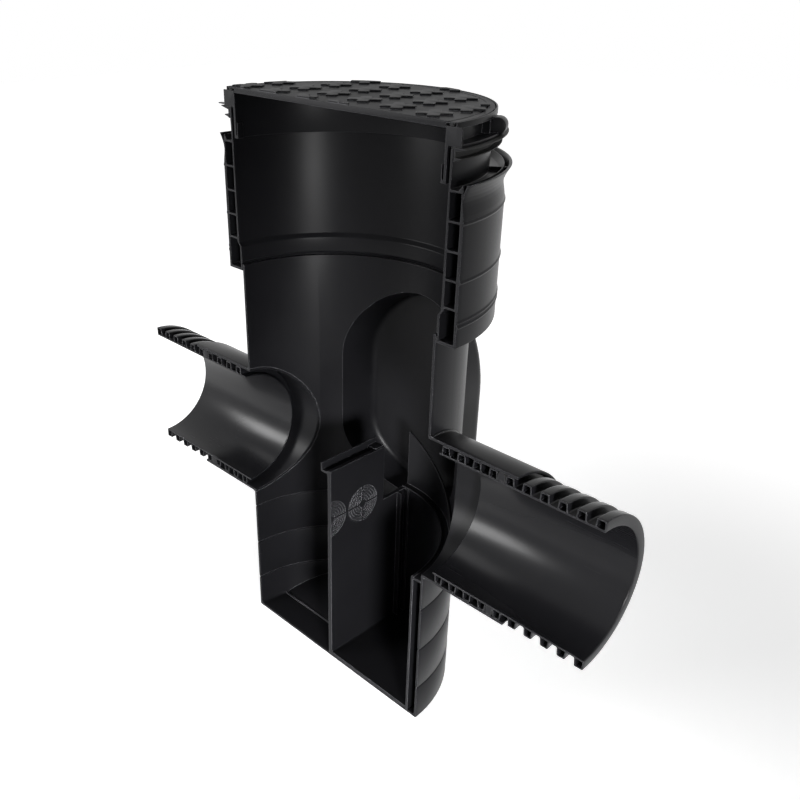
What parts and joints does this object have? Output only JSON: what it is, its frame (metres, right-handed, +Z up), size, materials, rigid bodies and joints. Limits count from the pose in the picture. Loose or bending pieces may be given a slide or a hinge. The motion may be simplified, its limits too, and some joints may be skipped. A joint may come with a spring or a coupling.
{
  "type": "silt trap",
  "caption": "Inline drainage silt trap as a half section: tube chamber with bypass dome, lift-out silt bucket, twin-wall riser, height-adjustable lidded frame and ribbed pipe ends.",
  "frame": {"origin": "on the ground at the middle of the object's footprint", "axes": "+Z up along the chamber; +X towards the inlet pipe, -X towards the outlet pipe; +Y away from the section plane"},
  "size_m": [0.7244, 0.1886, 0.7148],
  "materials": {
    "moulded_black": "satin black polypropylene",
    "pipe_black": "extruded black polypropylene, slight sheen",
    "cover_black": "fine-textured black polypropylene",
    "seal_rubber": "matt black rubber"
  },
  "bodies": {
    "trap": {"chamber_body": "moulded_black", "riser": "moulded_black", "riser_seal": "seal_rubber", "silt_bucket": "moulded_black", "inlet_sleeve": "moulded_black", "inlet_pipe": "pipe_black", "inlet_pipe_seal": "seal_rubber", "outlet_sleeve": "moulded_black", "outlet_pipe": "pipe_black", "outlet_pipe_seal": "seal_rubber"},
    "cover": {"cover_frame": "cover_black", "cover_seal": "seal_rubber", "cover_lid": "cover_black"}
  },
  "joints": [
    {"name": "cover_lift", "type": "slide", "parent": "trap", "child": "cover", "axis": [0, 0, 1], "range_m": [0, 0.03]}
  ]
}
